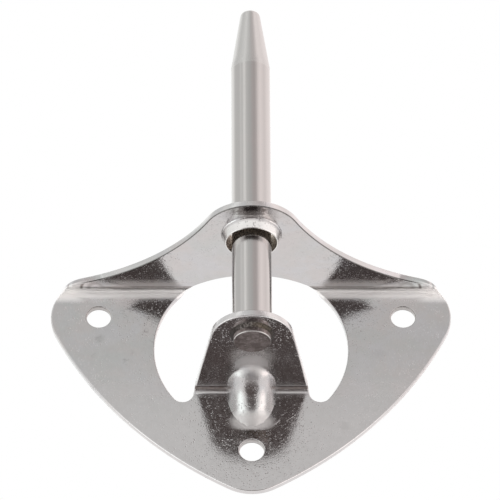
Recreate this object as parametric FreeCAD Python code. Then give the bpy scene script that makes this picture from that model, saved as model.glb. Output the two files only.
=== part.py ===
import FreeCAD, Part
import math
import os

from FreeCAD import Vector

# Rudder pintle for a small boat's transom, in stainless steel.
# A bracket folded from one piece of sheet carries a turned pin. The sheet is blanked with a round
# window. Its top edge is folded forwards as a flange, and the tongue left standing in the window is
# folded forwards as a lug. A collar plunged out of the flange surrounds the pin, a dart pressed
# into the lug's fold stiffens it, and a weld under the lug holds the pin.
# Millimetres. X points to the right, Y back into the transom and Z up, along the pin.
# The origin is on the mounting face, midway between the two upper screw holes.

# The sheet, and the break on its blanked edges
sheet = 1.5
edge_break = 0.25
neutral_share = 0.33

# Screw holes, and the outline round them
upper_pitch = 62.0
lower_drop = 32.3
screw_hole_d = 5.0
ear_radius = 9.75
foot_radius = 9.7
side_radius = 82.0

# Round window, and the notches where it runs into the lug's root
window_d = 39.3
window_drop = 7.9
notch_radius = 2.2

# Flange along the top, with a hump round the pin and hollow flanks
flange_rise = 6.7
flange_bend = 1.4
hump_radius = 9.9
flank_radius = 45.4

# Lug under the pin
lug_drop = 17.7
lug_bend = 1.2
lug_root_width = 23.5
lug_tip_radius = 8.2
lug_tip_setback = 1.4

# Pin
pin_reach = 21.1
pin_d = 8.0
pin_above_flange = 54.2
taper_length = 14.2
tip_d = 3.9
tip_round = 0.8
spigot_d = 7.6
spigot_clearance = 0.05
spigot_below_lug = 1.7
spigot_chamfer = 0.2

# Collar plunged down out of the flange round the pin. It thins towards its lip: its bore opens
# below a plain land, and its outside closes in.
collar_clearance = 0.6
collar_entry = 0.25
collar_land = 0.8
collar_mouth = 0.55
collar_lip = 0.2
collar_spread = 0.7
collar_depth = 2.1
collar_blend = 0.3
lip_round = 0.12

# Dart pressed into the lug's fold: a round ridge across the corner, whose ends bend out into the
# lug and the plate. These bends tighten towards the dart's sides.
dart_radius = 5.0
dart_set = 0.23
dart_blend = 5.0
dart_foot_blend = 4.0
dart_side_blend = 0.1

# Weld bead under the lug
weld_leg = 0.7

# Heights, places and radii that follow from the sizes above
front = -sheet
flange_top = flange_rise + sheet
lug_under = -lug_drop
lug_top = lug_under + sheet
pin_y = -pin_reach
pin_r = pin_d / 2
spigot_r = spigot_d / 2
tip_r = tip_d / 2
window_r = window_d / 2
collar_r = pin_r + collar_clearance
lip_r = collar_r + collar_mouth
ear = Vector(upper_pitch / 2, 0, 0)
foot = Vector(0, 0, -lower_drop)
window = Vector(0, 0, -window_drop)

# The flat blank lies in the plate's plane, and these heights are measured up it
flange_fold = flange_rise - flange_bend
flange_flat = flange_fold + math.pi / 2 * (flange_bend + neutral_share * sheet)
hump = Vector(0, 0, flange_flat + pin_reach - sheet - flange_bend)
lug_fold = lug_under - lug_bend
lug_flat = lug_fold + math.pi / 2 * (lug_bend + neutral_share * sheet)
lug_tip = Vector(0, 0, lug_flat + pin_reach - lug_tip_setback - sheet - lug_bend)

# The collar's outer corners at the flange and at the lip, drawn about the Z axis. The flange is flat
# again beyond the edge.
collar_low = flange_rise - collar_depth
collar_root = Vector(lip_r + collar_lip + collar_spread, 0, flange_rise)
collar_tip = Vector(lip_r + collar_lip, 0, collar_low)
collar_edge_r = collar_root.x + collar_blend + sheet / 2

up = Vector(0, 0, 1)
across = Vector(1, 0, 0)
back = Vector(0, 1, 0)

# The dart's ridge runs from the lug down to the plate, square to the direction it faces
outward = Vector(0, -1, -1).normalize()
dart_run = Vector(0, -1, 1).normalize()

far_off = 200.0
fold_stations = 7
dart_stations = 13


def meeting_point(a, reach_a, b, reach_b, side):
    """The point in the XZ plane at two given distances from a and b, left or right of a-b."""
    gap = (b - a).Length
    along = (gap**2 + reach_a**2 - reach_b**2) / (2 * gap)
    unit = (b - a) / gap
    normal = Vector(-unit.z, 0, unit.x) * side
    return a + unit * along + normal * math.sqrt(reach_a**2 - along**2)


def lower_crossing(start, direction, centre, radius):
    """Where a line through start, of unit direction, crosses a circle, at the lower of the two points."""
    nearest = start + direction * (centre - start).dot(direction)
    half_chord = math.sqrt(radius**2 - (nearest - centre).Length ** 2)
    return nearest - direction * half_chord


def towards(a, b, distance):
    """The point at a given distance from a, in the direction of b."""
    return a + (b - a) * (distance / (b - a).Length)


def arc(centre, start, end):
    """The shorter arc round a centre."""
    middle = towards(centre, (start + end) * 0.5, (start - centre).Length)
    return Part.Arc(start, middle, end).toShape()


def line(start, end):
    return Part.LineSegment(start, end).toShape()


def flare(corner, leg_in, leg_out):
    """A curve that leaves one leg of a corner and runs smoothly into the other."""
    curve = Part.BezierCurve()
    curve.setPoles([corner + leg_in, corner, corner + leg_out])
    return curve.toShape()


def other_side(edges):
    """The same edges on the left, in the order that closes the outline."""
    return [edge.mirror(Vector(), across) for edge in reversed(edges)]


def sheet_prism(edges):
    """A flat piece of the sheet, from the mounting face to the front face."""
    return Part.Face(Part.Wire(edges)).extrude(back * -sheet)


def turned(edges):
    """A solid turned about the pin's axis; its outline is drawn about the Z axis."""
    face = Part.Face(Part.Wire(edges))
    face.translate(Vector(0, pin_y, 0))
    return face.revolve(Vector(0, pin_y, 0), up, 360)


def slab(low_z, high_z):
    """Everything between two heights."""
    return Part.makeBox(far_off, far_off, high_z - low_z, Vector(-far_off / 2, -far_off / 2, low_z))


# Centres of the outline's long arcs, and the points where they touch the others
side_centre = meeting_point(ear, side_radius - ear_radius, foot, side_radius - foot_radius, -1)
flank_centre = meeting_point(ear, flank_radius + ear_radius, hump, flank_radius + hump_radius, -1)
ear_low = towards(side_centre, ear, side_radius)
foot_side = towards(side_centre, foot, side_radius)
ear_high = towards(ear, flank_centre, ear_radius)
hump_side = towards(hump, flank_centre, hump_radius)

# The lug's straight side, from its root to where it touches the tip's arc
lug_root = Vector(lug_root_width / 2, 0, lug_fold)
root_to_tip = (lug_tip - lug_root).Length
side_length = math.sqrt(root_to_tip**2 - lug_tip_radius**2)
tip_side = meeting_point(lug_root, side_length, lug_tip, lug_tip_radius, -1)
side_line = (tip_side - lug_root).normalize()
side_normal = Vector(side_line.z, 0, -side_line.x)


def largest_notch(floor):
    """Radius of a notch that touches the lug's side and, from inside, the window, above a floor."""
    lean = side_line.x / side_line.z
    foot_x = lug_root.x + (floor - lug_root.z) * lean
    foot_z = floor - window.z
    growth = lean + 1 / side_line.z
    half = growth * foot_x + foot_z + window_r
    spare = window_r**2 - foot_x**2 - foot_z**2
    return (math.sqrt(half**2 + growth**2 * spare) - half) / growth**2


# A notch rounds the corner between the lug's side and the window's circle. The room there limits
# its radius, so that its floor lies at least the bend's radius below the lug's fold.
notch_r = min(notch_radius, largest_notch(lug_fold - lug_bend))
notch_centre = lower_crossing(lug_root + side_normal * notch_r, side_line, window, window_r - notch_r)
notch_side = notch_centre - side_normal * notch_r
notch_ring = towards(window, notch_centre, window_r)


def lug_half_width(height):
    """Half the lug's width at a height on the flat blank, above the notches' floors."""
    if height < notch_side.z:
        return notch_centre.x - math.sqrt(notch_r**2 - (height - notch_centre.z) ** 2)
    return lug_root.x + (height - lug_root.z) * side_line.x / side_line.z


def blank_half_width(height):
    """Half the blank's width at a height between the upper holes and the hump."""
    if height < ear_high.z:
        return ear.x + math.sqrt(ear_radius**2 - (height - ear.z) ** 2)
    return flank_centre.x - math.sqrt(flank_radius**2 - (flank_centre.z - height) ** 2)


def window_half_width(height):
    """Half the window's width at a height above its centre."""
    return math.sqrt(window_r**2 - (height - window.z) ** 2)


def blank():
    """The flat blank with its window and the lug standing in it."""
    outline = [
        arc(foot, foot - up * foot_radius, foot_side),
        arc(side_centre, foot_side, ear_low),
        arc(ear, ear_low, ear_high),
        arc(flank_centre, ear_high, hump_side),
        arc(hump, hump_side, hump + up * hump_radius),
    ]
    opening = [
        arc(lug_tip, lug_tip + up * lug_tip_radius, tip_side),
        line(tip_side, notch_side),
        arc(notch_centre, notch_side, notch_ring),
        arc(window, notch_ring, window + up * window_r),
    ]
    body = sheet_prism(outline + other_side(outline))
    return body.cut(sheet_prism(opening + other_side(opening)))


def eased_width(half_width, low, high, length, share):
    """Half the width part of the way round one face of a fold, leaving both flat pieces smoothly."""
    step = (high - low) / 100
    low_slope = (half_width(low + step) - half_width(low)) / step
    high_slope = (half_width(high) - half_width(high - step)) / step
    rise = half_width(high) - half_width(low)
    ease = share**2 * (3 - 2 * share)
    lead = length * low_slope * share * (1 - share) ** 2
    trail = length * high_slope * share**2 * (1 - share)
    return half_width(low) + rise * ease + lead - trail


def fold(start, inner_r, half_width):
    """The sheet's quarter bend, whose ends follow a width that varies round it."""
    axis = Vector(0, front - inner_r, start)
    outer_r = inner_r + sheet
    spare = inner_r / 2
    profile = [
        line(axis + back * inner_r, axis + back * outer_r),
        arc(axis, axis + back * outer_r, axis + up * outer_r),
        line(axis + up * outer_r, axis + up * inner_r),
        arc(axis, axis + up * inner_r, axis + back * inner_r),
    ]
    ring = Part.Face(Part.Wire(profile)).extrude(across * far_off)
    ring.translate(across * (-far_off / 2))
    end = start + math.pi / 2 * (inner_r + neutral_share * sheet)
    sections = []
    for i in range(fold_stations):
        share = i / (fold_stations - 1)
        turn = share * math.pi / 2
        spoke = back * math.cos(turn) + up * math.sin(turn)
        inner = eased_width(half_width, start, end, math.pi / 2 * inner_r, share)
        outer = eased_width(half_width, start, end, math.pi / 2 * outer_r, share)
        flare_out = (outer - inner) * spare / sheet
        near = across * (inner - flare_out)
        far = across * (outer + flare_out)
        near_spoke = axis + spoke * (inner_r - spare)
        far_spoke = axis + spoke * (outer_r + spare)
        corners = [near_spoke - near, far_spoke - far, far_spoke + far, near_spoke + near]
        sections.append(Part.makePolygon(corners + corners[:1]))
    return ring.common(Part.makeLoft(sections, True))


def folded_forward(piece, fold_line, inner_r, developed_end):
    """What stands above a fold on the flat blank, laid forwards from the end of the bend."""
    piece.rotate(Vector(), across, 90)
    piece.translate(Vector(0, front - inner_r + developed_end, fold_line + inner_r + sheet))
    return piece


def folded_sheet():
    """The blank folded at the flange and at the lug."""
    flat = blank()
    inside_window = Part.makeCylinder(window_r, sheet, window, back * -1)
    standing = flat.common(inside_window).common(slab(lug_fold, far_off))
    rest = flat.cut(standing)
    plate = rest.common(slab(-far_off, flange_fold))
    flange = folded_forward(rest.common(slab(flange_flat, far_off)), flange_fold, flange_bend, flange_flat)
    lug = folded_forward(standing.common(slab(lug_flat, far_off)), lug_fold, lug_bend, lug_flat)
    flange_turn = fold(flange_fold, flange_bend, blank_half_width)
    flange_turn = flange_turn.cut(fold(flange_fold, flange_bend, window_half_width))
    lug_turn = fold(lug_fold, lug_bend, lug_half_width)
    return plate.fuse([flange_turn, flange, lug_turn, lug]).removeSplitter()


def screw_holes():
    """What the three screws pass through."""
    places = (ear, Vector(-ear.x, 0, 0), foot)
    return Part.makeCompound([Part.makeCylinder(screw_hole_d / 2, far_off, at, back * -1) for at in places])


def collar():
    """The ring of flange drawn down round the pin."""
    wall_run = (collar_tip - collar_root).normalize()
    rim = Part.makePolygon([
        Vector(collar_r + collar_entry, 0, flange_top),
        Vector(collar_edge_r, 0, flange_top),
        Vector(collar_edge_r, 0, flange_rise),
        collar_root + across * collar_blend,
    ])
    blend = flare(collar_root, across * collar_blend, wall_run * collar_blend)
    wall = line(collar_root + wall_run * collar_blend, collar_tip - wall_run * lip_round)
    lip = flare(collar_tip, wall_run * -lip_round, across * -lip_round)
    bore = Part.makePolygon([
        collar_tip - across * lip_round,
        Vector(lip_r, 0, collar_low),
        Vector(collar_r, 0, flange_top - collar_entry - collar_land),
        Vector(collar_r, 0, flange_top - collar_entry),
    ])
    entry = flare(Vector(collar_r, 0, flange_top), up * -collar_entry, across * collar_entry)
    return turned(rim.Edges + [blend, wall, lip] + bore.Edges + [entry])


def dart_profile(radius, lift, depth, turn):
    """The dart's outline in side view, at an angle round its ridge.

    It fills the corner between the faces of the plate and the lug that lie a lift behind the front
    ones, and reaches a depth behind them.
    """
    corner = Vector(radius * math.sin(turn), front + lift, lug_under + lift)
    reach = dart_set + radius * math.cos(turn) + lift * math.sqrt(2)
    lug_blend = dart_side_blend + (dart_blend - dart_side_blend) * math.cos(turn) + lift
    foot_blend = dart_side_blend + (dart_foot_blend - dart_side_blend) * math.cos(turn) + lift
    half_turn = math.tan(math.pi / 8)
    ridge = corner + outward * reach
    on_lug = corner - back * (reach * math.sqrt(2) + lug_blend * half_turn)
    on_plate = corner - up * (reach * math.sqrt(2) + foot_blend * half_turn)
    ridge_high = ridge + dart_run * (reach - lug_blend * half_turn)
    ridge_low = ridge - dart_run * (reach - foot_blend * half_turn)
    behind_lug = on_lug + up * depth
    behind_plate = on_plate + back * depth
    behind_corner = corner + (up + back) * depth
    return Part.Wire([
        line(behind_lug, on_lug),
        arc(on_lug - up * lug_blend, on_lug, ridge_high),
        line(ridge_high, ridge_low),
        arc(on_plate - back * foot_blend, ridge_low, on_plate),
        line(on_plate, behind_plate),
        line(behind_plate, behind_corner),
        line(behind_corner, behind_lug),
    ])


def dart(radius, lift, depth):
    """The dart's outlines joined across it, from side to side."""
    turns = [math.pi * (i / (dart_stations - 1) - 0.5) for i in range(dart_stations)]
    return Part.makeLoft([dart_profile(radius, lift, depth, turn) for turn in turns], True)


def add_dart(body):
    """Presses the dart into the lug's fold: a rib in front, clear of the screws, and a groove behind."""
    rib = dart(dart_radius, 0, sheet / 4).cut(screw_holes())
    groove = dart(dart_radius - sheet, sheet, sheet)
    return body.fuse(rib).removeSplitter().cut(groove)


def facings(shape, edge):
    """The middle of an edge, and the outward directions of the faces that meet there."""
    middle = edge.valueAt((edge.FirstParameter + edge.LastParameter) / 2)
    faces = shape.ancestorsOfType(edge, Part.Face)
    return middle, [face.normalAt(*face.Surface.parameter(middle)) for face in faces]


def is_cut_edge(shape, edge):
    """Is this a square outer corner of the sheet, left by blanking?"""
    middle, normals = facings(shape, edge)
    if len(normals) != 2 or abs(normals[0].dot(normals[1])) > 0.5:
        return False
    return not shape.isInside(middle + (normals[0] - normals[1]) * (sheet / 8), sheet / 100, True)


def bracket():
    """The folded sheet with its blanked edges broken, and its dart, holes and collar."""
    body = folded_sheet().cut(screw_holes())
    body = body.makeChamfer(edge_break, [e for e in body.Edges if is_cut_edge(body, e)])
    body = add_dart(body)
    disc = Part.makeCylinder(collar_edge_r, sheet, Vector(0, pin_y, flange_rise))
    body = body.cut(disc).fuse(collar()).removeSplitter()
    spigot_hole = Part.makeCylinder(spigot_r + spigot_clearance, sheet, Vector(0, pin_y, lug_under))
    return body.cut(spigot_hole).Solids[0]


def pin():
    """The turned pin: a spigot through the lug, a plain length and a taper with a rounded tip."""
    low = lug_under - spigot_below_lug
    tip = flange_top + pin_above_flange
    taper_foot = Vector(pin_r, 0, tip - taper_length)
    tip_corner = Vector(tip_r, 0, tip)
    along_taper = (taper_foot - tip_corner).normalize() * tip_round
    outline = Part.makePolygon([
        Vector(tip_r - tip_round, 0, tip),
        Vector(0, 0, tip),
        Vector(0, 0, low),
        Vector(spigot_r - spigot_chamfer, 0, low),
        Vector(spigot_r, 0, low + spigot_chamfer),
        Vector(spigot_r, 0, lug_top),
        Vector(pin_r, 0, lug_top),
        taper_foot,
        tip_corner + along_taper,
    ])
    return turned(outline.Edges + [flare(tip_corner, along_taper, across * -tip_round)])


def weld():
    """The bead of weld between the spigot and the underside of the lug."""
    root = Vector(spigot_r, 0, lug_under)
    return turned(Part.makePolygon([root, root + across * weld_leg, root - up * weld_leg, root]).Edges)


os.makedirs("parts", exist_ok=True)
for name, shape in (("bracket", bracket()), ("pin", pin()), ("pin_weld", weld())):
    shape.exportStep(f"parts/{name}.step")
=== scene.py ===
import math

import bmesh
import bpy
from mathutils import Matrix, Vector


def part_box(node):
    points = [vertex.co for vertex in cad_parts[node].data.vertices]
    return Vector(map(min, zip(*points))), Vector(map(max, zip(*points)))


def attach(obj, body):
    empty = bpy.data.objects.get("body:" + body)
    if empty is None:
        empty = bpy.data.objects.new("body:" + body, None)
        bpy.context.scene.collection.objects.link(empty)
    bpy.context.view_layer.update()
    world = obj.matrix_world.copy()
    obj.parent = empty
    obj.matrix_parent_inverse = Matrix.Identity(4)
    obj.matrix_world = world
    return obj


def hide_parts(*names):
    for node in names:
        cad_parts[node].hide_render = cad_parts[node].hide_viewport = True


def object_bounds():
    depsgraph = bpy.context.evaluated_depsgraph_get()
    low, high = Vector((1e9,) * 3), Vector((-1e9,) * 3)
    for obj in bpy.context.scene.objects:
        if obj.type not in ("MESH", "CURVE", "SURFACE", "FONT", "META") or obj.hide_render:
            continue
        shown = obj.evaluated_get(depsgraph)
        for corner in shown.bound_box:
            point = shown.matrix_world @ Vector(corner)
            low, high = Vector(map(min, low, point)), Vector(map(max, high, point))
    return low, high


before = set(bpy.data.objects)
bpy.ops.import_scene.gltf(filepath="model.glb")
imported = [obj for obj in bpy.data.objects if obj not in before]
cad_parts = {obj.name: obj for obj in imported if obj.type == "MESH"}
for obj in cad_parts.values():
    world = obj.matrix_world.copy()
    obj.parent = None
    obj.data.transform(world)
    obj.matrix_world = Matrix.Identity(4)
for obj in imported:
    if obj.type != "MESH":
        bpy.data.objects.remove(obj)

# A rudder pintle in stainless steel, seen from in front and below against white.
# Metres, in the frame of the solids: X to the right, Y back into the transom, Z up along the pin.
# Places and sizes on the steel are in millimetres. Colours are red, green and blue.

MM = 0.001
cad_box = [list(corner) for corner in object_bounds()]

# The pin: its axis, the spigot below it, and the taper above with its rounded tip
PIN_LOW, PIN_HIGH = (Vector(corner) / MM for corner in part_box("pin"))
PIN_AXIS = Vector(((PIN_LOW.x + PIN_HIGH.x) / 2, (PIN_LOW.y + PIN_HIGH.y) / 2, 0))
SPIGOT_END = PIN_LOW.z
SPIGOT_LENGTH = 1.7
TAPER_LENGTH = 15.0
TAPER_FOOT = PIN_HIGH.z - TAPER_LENGTH

# The screw holes, by their places in X and Z
HOLES = ((-31.0, 0.0), (31.0, 0.0), (0.0, -32.3))

# The two folds, by the line in Y and Z where the faces of their flat sides would meet
FLANGE_FOLD = (-1.5, 6.7)
LUG_FOLD = (-1.5, -17.7)

# The dart across the lug's fold. It faces outwards, midway between plate and lug, and its ridge runs
# up from the plate to the lug.
DART_CORNER = Vector((0, *LUG_FOLD))
DART_OUT = Vector((0, -1, -1)).normalized()
DART_RUN = Vector((0, -1, 1)).normalized()


class Signal:
    """A number that varies over a surface. An expression on signals adds Math nodes."""

    def __init__(self, tree, socket):
        self.tree = tree
        self.socket = socket

    def __add__(self, other):
        return self.tree.math("ADD", self, other)

    def __radd__(self, other):
        return self.tree.math("ADD", other, self)

    def __sub__(self, other):
        return self.tree.math("SUBTRACT", self, other)

    def __rsub__(self, other):
        return self.tree.math("SUBTRACT", other, self)

    def __mul__(self, other):
        return self.tree.math("MULTIPLY", self, other)

    def __rmul__(self, other):
        return self.tree.math("MULTIPLY", other, self)

    def __truediv__(self, other):
        return self.tree.math("DIVIDE", self, other)

    def __rtruediv__(self, other):
        return self.tree.math("DIVIDE", other, self)

    def __pow__(self, other):
        return self.tree.math("POWER", self, other)

    def __rpow__(self, other):
        return self.tree.math("POWER", other, self)

    def __neg__(self):
        return self.tree.math("MULTIPLY", self, -1.0)


class Tree:
    """The nodes of one material or of the world."""

    def __init__(self, owner):
        owner.use_nodes = True
        self.nodes = owner.node_tree.nodes
        self.links = owner.node_tree.links
        self.nodes.clear()

    def node(self, kind, settings=None, inputs=None, output=0):
        """Adds a node: its settings first, then the values or links of its sockets."""
        made = self.nodes.new("ShaderNode" + kind)
        for name, value in (settings or {}).items():
            if name == "stops":
                self.set_stops(made.color_ramp, value)
            else:
                setattr(made, name, value)
        for key, value in (inputs or {}).items():
            socket = made.inputs[key]
            if isinstance(value, Signal):
                self.links.new(value.socket, socket)
            else:
                socket.default_value = (*value, 1.0) if socket.type == "RGBA" else value
        return Signal(self, made.outputs[output]) if made.outputs else None

    @staticmethod
    def set_stops(ramp, stops):
        """Gives a ramp its stops: a place and a grey each."""
        while len(ramp.elements) < len(stops):
            ramp.elements.new(1.0)
        for element, (place, grey) in zip(ramp.elements, stops):
            element.position = place
            element.color = (grey, grey, grey, 1.0)

    def math(self, operation, *values):
        return self.node("Math", {"operation": operation}, dict(enumerate(values)))

    def larger(self, one, other):
        return self.math("MAXIMUM", one, other)

    def vector(self, operation, *values, output=0):
        return self.node("VectorMath", {"operation": operation}, dict(enumerate(values)), output)

    def length(self, vector):
        return self.vector("LENGTH", vector, output="Value")

    def scaled(self, vector, factor):
        return self.node("VectorMath", {"operation": "SCALE"}, {0: vector, "Scale": factor})

    def joined(self, x, y, z):
        return self.node("CombineXYZ", None, {0: x, 1: y, 2: z})

    def axes(self, vector):
        """The three numbers of a vector."""
        parts = self.node("SeparateXYZ", None, {0: vector})
        return [Signal(self, socket) for socket in parts.socket.node.outputs]

    def mixed(self, factor, one, other):
        """A colour between two colours."""
        return self.node("Mix", {"data_type": "RGBA"}, {0: factor, 6: one, 7: other}, 2)

    def ramp(self, value, low, high, start=0.0, end=1.0):
        """A smooth step from start to end as a value goes from low to high."""
        settings = {"interpolation_type": "SMOOTHSTEP"}
        return self.node("MapRange", settings, {0: value, 1: low, 2: high, 3: start, 4: end})

    def band(self, value, low, high, soft):
        """One between low and high, and nothing outside, with soft borders."""
        rise = self.ramp(value, low - soft / 2, low + soft / 2)
        return rise * self.ramp(value, high - soft / 2, high + soft / 2, 1.0, 0.0)

    def object_place(self):
        return self.node("TexCoord", None, None, "Object")

    def noise(self, vector, scale, detail=2.0, roughness=0.5, distortion=0.0, output=0):
        """Cloudy noise about a half, with a scale in features per unit."""
        inputs = {"Vector": vector, "Scale": scale, "Detail": detail,
                  "Roughness": roughness, "Distortion": distortion}
        return self.node("TexNoise", None, inputs, output)

    def cells(self, vector, scale, output="Distance"):
        """Distance to the nearest of scattered points, or their random colour."""
        return self.node("TexVoronoi", None, {"Vector": vector, "Scale": scale}, output)


def new_object(name, shape):
    """An object at the origin that shows a finished shape."""
    mesh = bpy.data.meshes.new(name)
    shape.to_mesh(mesh)
    shape.free()
    made = bpy.data.objects.new(name, mesh)
    bpy.context.collection.objects.link(made)
    return made


# What lies behind everything
WHITE = (1.0, 1.0, 1.0)

# The tent stands far round the part, and is white but for a belt of silk and three patches. Azimuths run
# from straight in front to the right, elevations upwards, both in degrees.
TENT_RADIUS = 8.0
TENT_FACES = (64, 32)
TENT_WHITE = (1.0, 0.985, 0.98)

# The silk darkens towards the front. It has a tone for each azimuth, and is cooler on the left than on
# the right. A ramp's greys end at one, so it holds the tones divided by a scale.
SILK = (
    (-180, 1.15), (-126, 1.30), (-104, 0.88), (-74, 0.88), (-62, 1.04), (-52, 0.90),
    (-39, 1.30), (-27, 0.90), (-14, 0.79), (0, 0.72), (13, 0.66), (23, 0.64),
    (32, 0.80), (42, 1.10), (56, 1.28), (86, 1.10), (110, 1.26), (180, 1.15),
)
SILK_SCALE = 2.0
SILK_COOL = (0.985, 1.0, 0.99)
SILK_WARM = (1.05, 0.985, 0.975)
SILK_TURN = (-5, 15)
SILK_ELEVATIONS = (4, 78)
SILK_BORDER = 24

# The dark of the room round the camera, and a softbox on each side of it: azimuths, elevations, soft
# border and colour
PATCHES = (
    ((-42, 42), (-73, -16), 8, (0.125, 0.104, 0.100)),
    ((66, 108), (-64, -16), 18, (1.95, 1.83, 1.79)),
    ((-108, -66), (-64, -16), 18, (1.80, 1.88, 1.86)),
)


def white_background():
    """What shows wherever nothing stands in the way."""
    world = bpy.data.worlds.new("white_background")
    bpy.context.scene.world = world
    tree = Tree(world)
    tree.node("OutputWorld", None, {"Surface": tree.node("Background", None, {"Color": WHITE})})


def lit_silk():
    """The light of the tent in every direction from the part."""
    material = bpy.data.materials.new("lit_silk")
    # So large a light needs no aim: the rays that leave the steel find it
    material.cycles.emission_sampling = "NONE"
    tree = Tree(material)
    direction = tree.vector("NORMALIZE", tree.object_place())
    x, y, z = tree.axes(direction)
    azimuth = tree.math("DEGREES", tree.math("ARCTAN2", x, -y))
    elevation = tree.math("DEGREES", tree.math("ARCSINE", z))
    stops = [(place / 360 + 0.5, tone / SILK_SCALE) for place, tone in SILK]
    silk = tree.node("ValToRGB", {"stops": stops}, {0: azimuth / 360 + 0.5})
    tint = tree.mixed(tree.ramp(azimuth, *SILK_TURN), SILK_COOL, SILK_WARM)
    silk = tree.vector("MULTIPLY", tree.scaled(silk, SILK_SCALE), tint)
    tone = tree.mixed(tree.band(elevation, *SILK_ELEVATIONS, SILK_BORDER), TENT_WHITE, silk)
    for azimuths, elevations, border, color in PATCHES:
        patch = tree.band(azimuth, *azimuths, border) * tree.band(elevation, *elevations, border)
        tone = tree.mixed(patch, tone, color)
    glow = tree.node("Emission", None, {"Color": tone, "Strength": 1.0})
    tree.node("OutputMaterial", None, {"Surface": glow})
    return material


def pitch_the_tent():
    """The tent lights the part and shows in its steel, but not to the camera."""
    shape = bmesh.new()
    round_it, up_it = TENT_FACES
    bmesh.ops.create_uvsphere(shape, u_segments=round_it, v_segments=up_it, radius=TENT_RADIUS)
    bmesh.ops.reverse_faces(shape, faces=shape.faces)
    tent = new_object("tent", shape)
    tent.visible_camera = False
    tent.data.materials.append(lit_silk())


# The floor: how far below the part it lies, how far it reaches, where it fades into the white behind,
# and its colour
FLOOR_DROP = 0.5 * MM
FLOOR_REACH = 3.0
FLOOR_FADE = (0.25, 0.60)
FLOOR_PALE = (0.86, 0.86, 0.86)


def pale_floor():
    """Pale from above, white far out, and clear from below."""
    material = bpy.data.materials.new("pale_floor")
    tree = Tree(material)
    pale = tree.node("BsdfDiffuse", None, {"Color": FLOOR_PALE})
    white = tree.node("Emission", None, {"Color": WHITE, "Strength": 1.0})
    far_out = tree.ramp(tree.length(tree.object_place()), *FLOOR_FADE)
    seen = tree.node("MixShader", None, {0: far_out, 1: pale, 2: white})
    underside = tree.node("NewGeometry", None, None, "Backfacing")
    seen = tree.node("MixShader", None, {0: underside, 1: seen, 2: tree.node("BsdfTransparent")})
    tree.node("OutputMaterial", None, {"Surface": seen})
    return material


def lay_floor():
    """A floor just below the part, which shows its shadow from above and nothing from below."""
    shape = bmesh.new()
    below = Matrix.Translation((0, 0, cad_box[0][2] - FLOOR_DROP))
    bmesh.ops.create_grid(shape, x_segments=1, y_segments=1, size=FLOOR_REACH, matrix=below)
    floor = new_object("floor", shape)
    floor.visible_glossy = False
    floor.visible_diffuse = False
    floor.visible_transmission = False
    floor.data.materials.append(pale_floor())


# The camera: what it looks at, how far off it stands, how far it looks up, how far it is turned to the
# right and rolled over, its lens and how far it sees
CAMERA_TARGET = Vector((-0.11, -1.5, 16.6)) * MM
CAMERA_DISTANCE = 1124.3 * MM
CAMERA_LIFT = math.radians(35.0)
CAMERA_SWING = math.radians(0.65)
CAMERA_ROLL = math.radians(-0.37)
CAMERA_LENS = 393.9
CAMERA_SENSOR = 36.0
CAMERA_SIGHT = 100.0


def add_camera():
    """The photograph's view: from in front and well below, almost square on."""
    forward = Vector((
        math.sin(CAMERA_SWING) * math.cos(CAMERA_LIFT),
        math.cos(CAMERA_SWING) * math.cos(CAMERA_LIFT),
        math.sin(CAMERA_LIFT),
    ))
    level = Vector((math.cos(CAMERA_SWING), -math.sin(CAMERA_SWING), 0))
    above = level.cross(forward)
    right = level * math.cos(CAMERA_ROLL) + above * math.sin(CAMERA_ROLL)
    top = above * math.cos(CAMERA_ROLL) - level * math.sin(CAMERA_ROLL)
    data = bpy.data.cameras.new("camera")
    data.lens = CAMERA_LENS
    data.sensor_width = CAMERA_SENSOR
    data.clip_end = CAMERA_SIGHT
    camera = bpy.data.objects.new("camera", data)
    turn = Matrix((right, top, -forward)).transposed().to_4x4()
    camera.matrix_world = Matrix.Translation(CAMERA_TARGET - forward * CAMERA_DISTANCE) @ turn
    bpy.context.collection.objects.link(camera)
    bpy.context.scene.camera = camera


# The share of a spot's half width, of a line's reach and of a pit's size over which each stays full, and
# how soft the border of the smallest pit is
SPOT_CORE = 0.2
LINE_CORE = 0.5
PIT_CORE = 0.35
PIT_BORDER = 0.02


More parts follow.
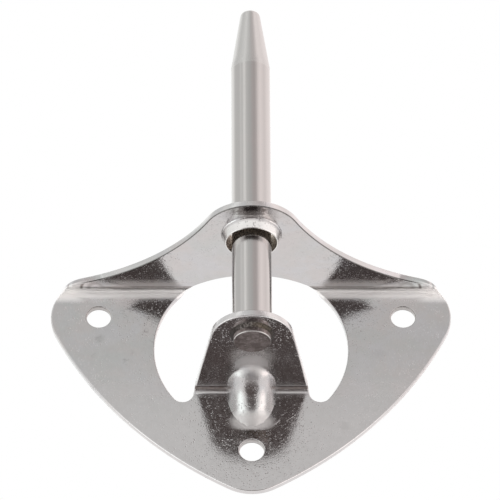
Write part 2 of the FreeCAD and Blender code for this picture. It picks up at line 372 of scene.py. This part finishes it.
class Steel:
    """One steel: its colour, its roughness and the height of its surface, laid on mark by mark."""

    def __init__(self, name):
        self.material = bpy.data.materials.new(name)
        self.tree = Tree(self.material)
        self.place = self.tree.scaled(self.tree.object_place(), 1 / MM)
        self.x, self.y, self.z = self.tree.axes(self.place)
        self.color = None
        self.roughness = 0.0
        self.height = 0.0

    def mark(self, where, color=None, cover=1.0, rougher=0.0):
        """Lays on a mark: its colour, how far that covers the steel, and how much rougher it is."""
        if color:
            self.color = self.tree.mixed(where * cover, self.color, color)
        if rougher:
            self.roughness = self.roughness + where * rougher

    def finished(self):
        """Joins the colour, roughness and height to the shader."""
        inputs = {"Strength": 1.0, "Distance": MM, "Height": self.height}
        bump = self.tree.node("Bump", None, inputs)
        inputs = {"Base Color": self.color, "Metallic": 1.0, "Roughness": self.roughness, "Normal": bump}
        self.tree.node("OutputMaterial", None, {"Surface": self.tree.node("BsdfPrincipled", None, inputs)})
        return self.material

    def away_from(self, middle, place=None):
        """How far a place is from a point given in X and Z, seen from in front."""
        x, z = middle
        away = self.tree.vector("SUBTRACT", place or self.place, (x, 0, z))
        return self.tree.length(self.tree.vector("MULTIPLY", away, (1, 0, 1)))

    def spot(self, middle, half_width, place=None):
        """One at a point given in X and Z, fading to nothing round it."""
        away = self.away_from(middle, place)
        return self.tree.ramp(away, SPOT_CORE * half_width, half_width, 1.0, 0.0)

    def near_line(self, line, reach):
        """One along a line across the sheet at a given Y and Z, fading to nothing on both sides."""
        away = self.tree.vector("SUBTRACT", self.place, (0, *line))
        away = self.tree.length(self.tree.vector("MULTIPLY", away, (0, 1, 1)))
        return self.tree.ramp(away, LINE_CORE * reach, reach, 1.0, 0.0)

    def near_point(self, point, reach, across=1.0):
        """One within the inner reach of a point, and nothing past the outer one. Across the part the
        distance counts by the share given."""
        away = self.tree.vector("SUBTRACT", self.place, tuple(point))
        away = self.tree.length(self.tree.vector("MULTIPLY", away, (across, 1, 1)))
        return self.tree.ramp(away, *reach, 1.0, 0.0)

    def pits(self, scale, largest):
        """Scattered pits of uneven size: one in the middle of each, with a scale in pits per mm."""
        size = self.tree.axes(self.tree.cells(self.place, scale, output="Color"))[0]
        away = self.tree.cells(self.place, scale)
        return self.tree.ramp(away, size * (PIT_CORE * largest), PIT_BORDER + size * largest, 1.0, 0.0)


# The sheet's cloudy greys, the tone of its mottles, and the lighter steel of the plate's foot, with the
# heights between which it grows lighter and how much smoother it is in the end
SHEET_COOL = (0.575, 0.575, 0.57)
SHEET_WARM = (0.61, 0.58, 0.575)
SHEET_BLUE = (0.605, 0.595, 0.605)
SHEET_MOTTLE = (0.42, 0.41, 0.40)
SHEET_FOOT_PALE = (0.69, 0.67, 0.67)
PALE_FOOT_HEIGHTS = (-6.0, -30.0)
PALE_FOOT_SMOOTHER = 0.6

# Handling marks on the plate: the place in X and Z, the half width and the darkness of each
SMUDGES = (
    ((-30.8, -5.6), 1.4, 0.20),
    ((-21.7, -3.5), 0.9, 0.26),
    ((-25.6, -10.8), 0.8, 0.24),
    ((-32.1, -9.5), 0.7, 0.10),
    ((-24.1, -8.7), 0.8, 0.10),
    ((-36.6, 3.8), 1.0, 0.12),
    ((18.5, -26.5), 1.6, 0.10),
    ((26.0, -9.0), 1.8, 0.08),
)
SMUDGE_GREY = (0.16, 0.15, 0.145)

# How far the borders of smudges and of the painted dark reflection at the nose stray
STRAY = 3.2

# Scratches crossing the plate beside the dart: the middle and half width of their patch, their slant,
# and how much finer than a millimetre they are along, through and across
SCRATCHED = ((6.6, -25.0), 3.2)
SCRATCH_SLANT = math.radians(40)
SCRATCH_STRETCH = (0.30, 1.0, 4.2)

# How deep the sheet's grain, mottles, pits and scratches are
GRAIN_DEPTH = 0.020
MOTTLE_DEPTH = 0.024
COARSE_PIT_DEPTH = 0.028
FINE_PIT_DEPTH = 0.024
SCRATCH_DEPTH = 0.03

# The holes' blanked walls, by how far they reach from each axis
HOLE_WALL = (2.56, 2.72)
HOLE_GREY = (0.46, 0.44, 0.43)

# The dart: its middle, the matt steel above its top and the matt steel with a painted sheen round its
# foot, each with an inner and an outer reach, and where along the dart that last ends
DART_MIDDLE = DART_CORNER + DART_OUT * 5.0
DART_REACH = (5.6, 7.4)
DART_TOP = DART_CORNER + DART_OUT * 6.4 + DART_RUN * 6.6
DART_TOP_REACH = (1.8, 4.4)
DART_FOOT = DART_CORNER + DART_OUT * 5.6 - DART_RUN * 5.7
DART_FOOT_REACH = (1.5, 3.3)
DART_FOOT_END = (-7.3, -6.6)
DART_FOOT_PAINTED_SHEEN = (0.84, 0.82, 0.81)

# The upper fold's inner corner is soft, and softer towards its ends: from where to where across the
# sheet that grows, how far it reaches along the flange and down the plate, and how steep it is there
FLANGE_SPREAD = (20.0, 36.0)
FLANGE_SOFT = (0.05, 5.4)
FLANGE_SLOPE = 0.42
FLANGE_POWER = 1.35
PLATE_SPREAD = (20.5, 27.0)
PLATE_SOFT = (3.2, 5.2)
PLATE_SLOPE = 0.23
PLATE_POWER = 2.0

# Where the softness of the flange fades out down the plate, and that of the plate out along the flange
FLANGE_FADE = (0.0, 0.4)
PLATE_FADE = (0.3, 0.8)

# The flange's underside also curls down at its two ends: where it ends, and from how far before that
EAR_END = 36.5
EAR_CURL = 6.5
CURL_SLOPE = 0.30
CURL_POWER = 2.0

# A painted highlight lies along the upper fold's inner corner, on a line in Y and Z, and widens at both
# its ends.
# The ends are painted bright in front of one depth and below one height only.
PAINTED_HIGHLIGHT_LINE = (-1.6, 5.75)
PAINTED_HIGHLIGHT_REACH = 1.5
PAINTED_HIGHLIGHT_END = (32.8, 36.4)
PAINTED_HIGHLIGHT_END_REACH = 3.6
PAINTED_HIGHLIGHT_FRONT = (-1.2, -0.9)
PAINTED_HIGHLIGHT_TOP = (7.1, 7.4)
PAINTED_HIGHLIGHT = (1.0, 0.985, 0.975)

# The flange's underside lies between these heights, with soft borders
UNDERSIDE = ((6.4, 6.6), (6.71, 6.74))

# Dark rings of painted reflection inside each curl: their middle across the sheet, their
# half width and their depth in front of the fold, the shares of these at which the outer and the inner
# ring lie, and where across the sheet they start
EAR_RING = (31.7, 3.1, 4.6)
OUTER_RING = (0.88, 1.04)
INNER_RING = (0.40, 0.62)
RING_START = (29.0, 31.5)
PAINTED_RING_REFLECTION = (0.12, 0.095, 0.085)

# A dark line of painted shade along the flange's lower edge: its heights, and the depths in front of
# which it starts
EDGE_LINE = (6.74, 6.90)
EDGE_START = (-4.4, -3.4)
EDGE_PAINTED_SHADE = (0.10, 0.095, 0.09)

# The collar: its burnt bore, painted lighter to stand in for light, and its cone with a painted sheen, by
# how far they reach from the pin's axis
BORE_REACH = (4.9, 5.3)
BORE_HEIGHTS = (0.0, 1.0)
BORE_DARK = (0.28, 0.23, 0.19)
BORE_STRAW_PAINTED_LIGHT = (0.80, 0.72, 0.62)
CONE_REACH = (6.6, 7.2)
CONE_HEIGHTS = (3.0, 6.1)
CONE_PAINTED_SHEEN = (0.84, 0.825, 0.81)

# The painted dark reflection under the flange's nose and the haze round it: the reach of each in X and in
# Y, its soft border and its darkness
PAINTED_NOSE_REFLECTIONS = (
    ((-2.9, 2.4), (-31.6, -27.9), 0.5, 0.80),
    ((-5.6, 5.2), (-32.0, -26.5), 2.0, 0.30),
)
PAINTED_NOSE_DARK = (0.10, 0.082, 0.078)

# Painted shade along the inner corners of the folds: the line of each in Y and Z, its reach and its
# darkness. It pales before the ends of the flange.
FOLD_SHADES = (
    ((-2.25, -17.8), 0.55, 0.85),
    ((-2.4, 6.6), 0.45, 0.60),
)
FOLD_SHADE_PALES = (27.0, 34.0)
FOLD_SHADE_BROWN = (0.13, 0.095, 0.085)


def sideways(steel):
    """How far a place is from the middle of the part, to the left or to the right."""
    return steel.tree.math("ABSOLUTE", steel.x)


def soft_corner(tree, distance, reach, slope, power):
    """How high a soft inner corner is at a distance from it. A lower power gives it a more even slope."""
    return tree.larger(1 - distance / reach, 0.0) ** power * reach * slope


def fold_height(steel):
    """The height of the upper fold's soft inner corner, which widens and curls round at its ends."""
    tree = steel.tree
    y, z = FLANGE_FOLD
    out = sideways(steel)
    along_flange = tree.larger(y - steel.y, 0.0)
    down_plate = tree.larger(z - steel.z, 0.0)
    from_end = tree.larger(EAR_END - out, 0.0)
    flange_soft = tree.ramp(out, *FLANGE_SPREAD, *FLANGE_SOFT)
    plate_soft = tree.ramp(out, *PLATE_SPREAD, *PLATE_SOFT)
    flange = soft_corner(tree, along_flange, flange_soft, FLANGE_SLOPE, FLANGE_POWER)
    flange = flange + soft_corner(tree, from_end, EAR_CURL, CURL_SLOPE, CURL_POWER)
    plate = soft_corner(tree, down_plate, plate_soft, PLATE_SLOPE, PLATE_POWER)
    on_flange = tree.ramp(down_plate, *FLANGE_FADE, 1.0, 0.0)
    on_plate = tree.ramp(along_flange, *PLATE_FADE, 1.0, 0.0)
    facing_y, facing_z = tree.axes(tree.node("NewGeometry", None, None, "Normal"))[1:]
    inner = tree.math("MINIMUM", tree.larger(-facing_y - facing_z, 0.0), 1.0)
    return (flange * on_flange + plate * on_plate) * inner


def tumble_sheet(steel, clouds, grain, on_dart):
    """The sheet's own grey, its mottles, its grain and its pits."""
    tree = steel.tree
    place = steel.place
    drift = tree.noise(place, 0.16, detail=3.0, roughness=0.6, distortion=0.3)
    mottle = tree.noise(place, 0.6, detail=5.0, roughness=0.68)
    cloudy = tree.ramp(tree.noise(place, 0.8, detail=4.0, roughness=0.7), 0.42, 0.70)
    patchy = tree.ramp(tree.noise(place, 0.35, detail=3.0, roughness=0.6), 0.40, 0.60)
    coarse = steel.pits(1.25, 0.30) * (0.35 + patchy * 0.65)
    fine = steel.pits(2.6, 0.50) * (0.45 + patchy * 0.55)
    toward_foot = tree.ramp(steel.z, *PALE_FOOT_HEIGHTS)
    steel.color = tree.mixed(tree.ramp(clouds, 0.36, 0.62), SHEET_COOL, SHEET_WARM)
    steel.roughness = 0.10 + cloudy * 0.08
    steel.mark(tree.ramp(drift, 0.42, 0.66), SHEET_BLUE)
    # The plate grows lighter towards its foot, but not on the dart
    steel.mark(toward_foot * (1 - on_dart), SHEET_FOOT_PALE)
    steel.mark(tree.ramp(mottle, 0.25, 0.75, 0.16, 0.0), SHEET_MOTTLE)
    steel.mark(coarse, rougher=0.20)
    steel.mark(fine, rougher=0.16)
    uneven = (grain * GRAIN_DEPTH + mottle * MOTTLE_DEPTH) * (1 - toward_foot * PALE_FOOT_SMOOTHER)
    steel.height = steel.height + uneven - coarse * COARSE_PIT_DEPTH - fine * FINE_PIT_DEPTH


def handle_plate(steel, strayed, ragged):
    """Smudges and a patch of scratches."""
    tree = steel.tree
    for middle, half_width, darkness in SMUDGES:
        steel.mark(steel.spot(middle, half_width, strayed) * ragged, SMUDGE_GREY, cover=darkness)
    slanted = tree.node("Mapping", None, {"Vector": steel.place, "Rotation": (0, SCRATCH_SLANT, 0)})
    lines = tree.noise(tree.vector("MULTIPLY", slanted, SCRATCH_STRETCH), 1.0)
    scratch = tree.ramp(lines, 0.60, 0.66) * steel.spot(*SCRATCHED)
    steel.mark(scratch, rougher=0.3)
    steel.height = steel.height - scratch * SCRATCH_DEPTH


def work_dart(steel):
    """The matt steel above the dart, and the matt steel with a painted sheen round its foot."""
    tree = steel.tree
    from_corner = tree.vector("SUBTRACT", steel.place, tuple(DART_CORNER))
    up_dart = tree.vector("DOT_PRODUCT", from_corner, tuple(DART_RUN), output="Value")
    foot = steel.near_point(DART_FOOT, DART_FOOT_REACH, across=0.55)
    foot = foot * tree.ramp(up_dart, *DART_FOOT_END)
    steel.mark(foot, DART_FOOT_PAINTED_SHEEN, cover=0.8, rougher=0.40)
    steel.mark(steel.near_point(DART_TOP, DART_TOP_REACH, across=0.9), rougher=0.30)


def blank_holes(steel, ragged):
    """The grey, ragged walls of the screw holes."""
    wall = 0.0
    for hole in HOLES:
        wall = wall + steel.tree.ramp(steel.away_from(hole), *HOLE_WALL, 1.0, 0.0)
    steel.mark(wall * ragged, HOLE_GREY)
    steel.mark(wall, rougher=0.25)


def paint_fold_highlight(steel):
    """A painted highlight along the corner inside the upper fold, which widens at its two ends."""
    tree = steel.tree
    ends = tree.ramp(sideways(steel), *PAINTED_HIGHLIGHT_END) * steel.near_line(FLANGE_FOLD, PAINTED_HIGHLIGHT_END_REACH)
    ends = ends * tree.ramp(steel.y, *PAINTED_HIGHLIGHT_FRONT, 1.0, 0.0)
    ends = ends * tree.ramp(steel.z, *PAINTED_HIGHLIGHT_TOP, 1.0, 0.0)
    corner = steel.near_line(PAINTED_HIGHLIGHT_LINE, PAINTED_HIGHLIGHT_REACH)
    steel.mark(tree.larger(ends, corner), PAINTED_HIGHLIGHT)
    steel.mark(ends, rougher=0.28)
    steel.mark(corner, rougher=0.30)


def shade_edge_line(steel):
    """A dark line of painted shade along the flange's lower edge."""
    in_front = steel.tree.ramp(steel.y, *EDGE_START, 1.0, 0.0)
    steel.mark(steel.tree.band(steel.z, *EDGE_LINE, 0.05) * in_front, EDGE_PAINTED_SHADE, cover=0.85)


def paint_collar_burn_and_sheen(steel, clouds, grain):
    """The collar's cone with a painted sheen, and its burnt bore, painted lighter to stand in for light.
    """
    tree = steel.tree
    from_pin = tree.vector("MULTIPLY", tree.vector("SUBTRACT", steel.place, tuple(PIN_AXIS)), (1, 1, 0))
    from_pin = tree.length(from_pin)
    cone = tree.ramp(from_pin, *CONE_REACH, 1.0, 0.0) * tree.band(steel.z, *CONE_HEIGHTS, 0.5)
    steel.mark(cone * tree.ramp(clouds, 0.3, 0.6, 0.55, 1.0), CONE_PAINTED_SHEEN)
    bore = tree.ramp(from_pin, *BORE_REACH, 1.0, 0.0) * tree.ramp(steel.z, *BORE_HEIGHTS)
    steel.mark(bore, tree.mixed(tree.ramp(grain, 0.40, 0.60), BORE_DARK, BORE_STRAW_PAINTED_LIGHT), rougher=0.35)


def mark_underside(steel, strayed, ragged):
    """Painted dark reflections on the flange's underside alone: the rings inside the curls and the patch
    at the nose.
    """
    tree = steel.tree
    out = sideways(steel)
    lowest, highest = UNDERSIDE
    underside = tree.ramp(steel.z, *highest, 1.0, 0.0) * tree.ramp(steel.z, *lowest)
    middle, half_width, depth = EAR_RING
    across = (out - middle) / half_width
    forward = (FLANGE_FOLD[0] - steel.y) / depth
    reach = tree.math("SQRT", across * across + forward * forward)
    rings = tree.band(reach, *OUTER_RING, 0.14) + tree.band(reach, *INNER_RING, 0.24) * 0.5
    rings = rings * tree.ramp(out, *RING_START)
    steel.mark(rings * underside, PAINTED_RING_REFLECTION, cover=0.75)
    strayed_x = tree.axes(strayed)[0]
    for sides, ends, border, darkness in PAINTED_NOSE_REFLECTIONS:
        nose = tree.band(strayed_x, *sides, border) * tree.band(steel.y, *ends, border)
        steel.mark(nose * underside * ragged, PAINTED_NOSE_DARK, cover=darkness)


def shade_folds(steel, ragged, on_dart):
    """Brown lines of painted shade along the inner corner of each fold, which the dart interrupts."""
    pale = steel.tree.ramp(sideways(steel), *FOLD_SHADE_PALES, 1.0, 0.1)
    for line, reach, darkness in FOLD_SHADES:
        fold_shade = steel.near_line(line, reach) * (0.6 + ragged * 0.4)
        steel.mark(fold_shade * (1 - on_dart) * pale, FOLD_SHADE_BROWN, cover=darkness)


def pressed_steel():
    """Tumbled sheet: cloudy grey, faintly pink and blue, with what the press and hands left on it and
    painted light and shade.
    """
    steel = Steel("pressed_steel")
    tree = steel.tree
    clouds = tree.noise(steel.place, 0.11, detail=4.0, roughness=0.6, distortion=0.4)
    grain = tree.noise(steel.place, 2.6, detail=3.0, roughness=0.6)
    ragged = 0.4 + tree.noise(steel.place, 1.4, detail=3.0, roughness=0.7)
    wander = tree.noise(steel.place, 0.9, detail=3.0, roughness=0.7, output="Color")
    stray = tree.scaled(tree.vector("SUBTRACT", wander, (0.5, 0.5, 0.5)), STRAY)
    strayed = tree.vector("ADD", steel.place, stray)
    on_dart = steel.near_point(DART_MIDDLE, DART_REACH)
    folds = tree.larger(steel.near_line(LUG_FOLD, 2.6), steel.near_line(FLANGE_FOLD, 4.2))
    steel.height = fold_height(steel)
    tumble_sheet(steel, clouds, grain, on_dart)
    steel.mark(tree.larger(folds, on_dart * 0.6), rougher=0.18)
    handle_plate(steel, strayed, ragged)
    work_dart(steel)
    blank_holes(steel, ragged)
    paint_fold_highlight(steel)
    shade_edge_line(steel)
    paint_collar_burn_and_sheen(steel, clouds, grain)
    mark_underside(steel, strayed, ragged)
    shade_folds(steel, ragged, on_dart)
    return steel.finished()


# Fine lines drawn along the bar: how closely they stand round it, how slowly they change along it, and
# how deep they are beside its grain and the pits of its sawn end
DRAWN_ROUND = 4.0
DRAWN_ALONG = 0.035
DRAWN_DEPTH = 0.012
BAR_GRAIN_DEPTH = 0.003
SAWN_PIT_DEPTH = 0.03

# The pin's drawn steel, its matt taper, and the sawn end of its spigot inside a turned rim
BAR_COOL = (0.485, 0.475, 0.465)
BAR_WARM = (0.515, 0.485, 0.475)
TAPER_GREY = (0.55, 0.535, 0.525)
SPIGOT_RIM = (0.02, 0.19)
SAWN_DARK = (0.175, 0.145, 0.14)
SAWN_BROWN = (0.31, 0.27, 0.26)
SAWN_PALE = (0.36, 0.32, 0.31)


def turned_steel():
    """Drawn bar, turned at its ends: fine lines along it and a soft polish."""
    steel = Steel("turned_steel")
    tree = steel.tree
    spoke = tree.vector("SUBTRACT", steel.place, tuple(PIN_AXIS))
    right, back = tree.axes(spoke)[:2]
    turn = tree.math("ARCTAN2", right, -back)
    unrolled = tree.joined(turn * DRAWN_ROUND, 0.0, steel.z * DRAWN_ALONG)
    drawn = tree.noise(unrolled, 3.0, detail=3.0, roughness=0.65)
    mottle = tree.noise(steel.place, 0.5, detail=3.0, roughness=0.6)
    grain = tree.noise(steel.place, 3.0, detail=2.0, roughness=0.6)
    cloudy = tree.ramp(tree.noise(steel.place, 0.9, detail=4.0, roughness=0.7), 0.40, 0.65)
    rough = steel.pits(1.6, 0.4)
    above_end = steel.z - SPIGOT_END
    rim = tree.band(above_end, *SPIGOT_RIM, 0.03)
    sawn = tree.ramp(above_end, SPIGOT_LENGTH - 0.1, SPIGOT_LENGTH, 1.0, 0.0) * (1 - rim)
    steel.color = tree.mixed(mottle, BAR_COOL, BAR_WARM)
    steel.roughness = 0.10 + mottle * 0.06
    end_color = tree.mixed(rough, tree.mixed(cloudy, SAWN_DARK, SAWN_BROWN), SAWN_PALE)
    steel.mark(sawn, end_color, rougher=0.22)
    steel.mark(tree.ramp(steel.z, TAPER_FOOT - 0.2, TAPER_FOOT + 0.2), TAPER_GREY, rougher=0.17)
    steel.height = drawn * DRAWN_DEPTH + grain * BAR_GRAIN_DEPTH - sawn * rough * SAWN_PIT_DEPTH
    return steel.finished()


# The weld: black with heat and with painted shade, straw-coloured on its right, with a painted sheen in
# front, and dark in its ragged hollows. The straw and the painted sheen each lie between two places across
# the part, and the sheen only in front of the pin's axis.
WELD_HEAT_AND_SHADE = (0.070, 0.062, 0.058)
WELD_STRAW = (0.19, 0.160, 0.125)
WELD_STRAW_SIDES = (0.9, 4.2)
WELD_PAINTED_SHEEN = (0.27, 0.245, 0.23)
WELD_SHEEN_SIDES = (-2.0, 1.6)
WELD_SHEEN_FRONT = (PIN_AXIS.y - 3.0, PIN_AXIS.y - 2.0)
WELD_HOLLOW = (0.045, 0.038, 0.035)
WELD_MOTTLE_DEPTH = 0.30
WELD_RAGGED_DEPTH = 0.22


def weld_metal():
    """Weld metal, dark with heat and painted shade, with a painted sheen in front."""
    steel = Steel("weld_bead")
    tree = steel.tree
    mottle = tree.noise(steel.place, 1.1, detail=3.0, roughness=0.6)
    ragged = tree.noise(steel.place, 2.4, detail=4.0, roughness=0.75)
    straw = tree.band(steel.x + mottle * 2.0, *WELD_STRAW_SIDES, 2.4)
    sheen = tree.band(steel.x + mottle * 1.6, *WELD_SHEEN_SIDES, 2.6)
    sheen = sheen * tree.ramp(steel.y, *WELD_SHEEN_FRONT, 1.0, 0.0)
    steel.color = tree.mixed(straw, WELD_HEAT_AND_SHADE, WELD_STRAW)
    steel.mark(sheen * tree.ramp(ragged, 0.35, 0.65), WELD_PAINTED_SHEEN)
    steel.mark(tree.ramp(ragged, 0.40, 0.60, 0.75, 0.0), WELD_HOLLOW)
    steel.roughness = 0.40 + mottle * 0.16
    steel.height = mottle * WELD_MOTTLE_DEPTH + ragged * WELD_RAGGED_DEPTH
    return steel.finished()


# The dart's front and the groove behind it: the radius of each, and how far it lies behind the front
DART_SKINS = ((5.0, 0.0), (3.5, 1.5))

# How far the ridge stands out of the corner, and how far it bends out at its top, its foot and its sides
DART_SET = 0.23
DART_TOP_BLEND = 5.0
DART_FOOT_BLEND = 4.0
DART_SIDE_BLEND = 0.1

# A bend of radius one by an eighth of a turn starts so far before its corner, along the dart's run
BLEND_SHARE = math.tan(math.pi / 8) / math.sqrt(2)

# What still counts as one of the dart's skins: how far below and above it a point may lie
SKIN_BELOW = 0.4
SKIN_ABOVE = 0.9

# The ridge is crowned: how far, the share of its length over which it rises, how late it falls, and how
# far apart the cuts are that follow it
CROWN = 1.5
CROWN_RISE = 0.5
CROWN_FALL = 8
CROWN_CUT = 0.55

# What is cut: so much wider than the dart's radius, and so much longer than it is wide. Points closer to
# a cut than this lie on it.
CUT_MARGIN = 1.04
CUT_LENGTH = 1.6
ON_CUT = 1e-7


def cut_across_dart(shape):
    """Cuts the dart's faces across its length, so that they can follow the crown."""
    half_width = DART_SKINS[0][0] * CUT_MARGIN
    half_length = half_width * CUT_LENGTH
    count = math.ceil(2 * half_length / CROWN_CUT)
    for i in range(1, count):
        middle = DART_CORNER + DART_RUN * (half_length * (2 * i / count - 1))
        faces = []
        for face in shape.faces:
            places = [vert.co / MM - DART_CORNER for vert in face.verts]
            if all(abs(at.x) < half_width and abs(at.dot(DART_RUN)) < half_length for at in places):
                faces.append(face)
        edges = {edge for face in faces for edge in face.edges}
        verts = {vert for face in faces for vert in face.verts}
        geometry = faces + list(edges) + list(verts)
        bmesh.ops.bisect_plane(shape, geom=geometry, dist=ON_CUT, plane_co=middle * MM, plane_no=DART_RUN)


def crown_at(place, radius, behind):
    """How far the crown raises one skin of the dart at a place given from the dart's corner."""
    if abs(place.x) >= radius:
        return 0.0
    aside = place.x / radius
    turn = math.sqrt(1 - aside**2)
    ridge = DART_SET + radius * turn
    along = place.dot(DART_RUN)
    height = place.dot(DART_OUT)
    corner = behind * math.sqrt(2)
    skin = max(ridge, abs(along) - corner)
    if not skin - SKIN_BELOW < height < skin + SKIN_ABOVE:
        return 0.0
    top_blend = DART_SIDE_BLEND + (DART_TOP_BLEND - DART_SIDE_BLEND) * turn + behind
    foot_blend = DART_SIDE_BLEND + (DART_FOOT_BLEND - DART_SIDE_BLEND) * turn + behind
    top = ridge + corner + BLEND_SHARE * top_blend
    foot = ridge + corner + BLEND_SHARE * foot_blend
    share = (top - along) / (top + foot)
    if not 0 < share < 1:
        return 0.0
    rise = min(share / CROWN_RISE, 1)
    return CROWN * rise**2 * (3 - 2 * rise) * (1 - share**CROWN_FALL) * (1 - aside**4)


def crown_dart(shape):
    """Crowns the dart's ridge, and the groove behind it alike."""
    cut_across_dart(shape)
    for vert in shape.verts:
        place = vert.co / MM - DART_CORNER
        raised = sum(crown_at(place, radius, behind) for radius, behind in DART_SKINS)
        vert.co += DART_OUT * (raised * MM)


# Points closer than this are one. Triangles that lie flat within the first angle are joined, and edges
# past the second stay sharp. Large faces count for more in how the light runs round a bend.
SAME_POINT = 1e-6
FLAT = math.radians(0.4)
CREASE = math.radians(50)
LARGE_FACES_COUNT = 75


def joined_copy(node, name, reshape=None):
    """A copy of a solid with its triangles joined, so that light runs smoothly round its bends."""
    shape = bmesh.new()
    shape.from_mesh(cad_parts[node].data)
    bmesh.ops.remove_doubles(shape, verts=shape.verts, dist=SAME_POINT)
    bmesh.ops.dissolve_limit(shape, angle_limit=FLAT, verts=shape.verts, edges=shape.edges)
    if reshape:
        reshape(shape)
    for face in shape.faces:
        face.smooth = True
    for edge in shape.edges:
        edge.smooth = edge.is_manifold and edge.calc_face_angle() < CREASE
    piece = new_object(name, shape)
    even = piece.modifiers.new("even_normals", "WEIGHTED_NORMAL")
    even.weight = LARGE_FACES_COUNT
    even.keep_sharp = True
    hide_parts(node)
    return piece


def add_piece(piece, material):
    """Gives a piece its steel and sets it on the part's one body."""
    piece.data.materials.clear()
    piece.data.materials.append(material)
    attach(piece, "root")


bpy.context.scene.view_settings.view_transform = "Standard"
white_background()
pitch_the_tent()
lay_floor()
add_camera()
add_piece(joined_copy("bracket", "pressed_bracket", crown_dart), pressed_steel())
add_piece(joined_copy("pin", "turned_pin"), turned_steel())
add_piece(joined_copy("pin_weld", "weld_ring"), weld_metal())
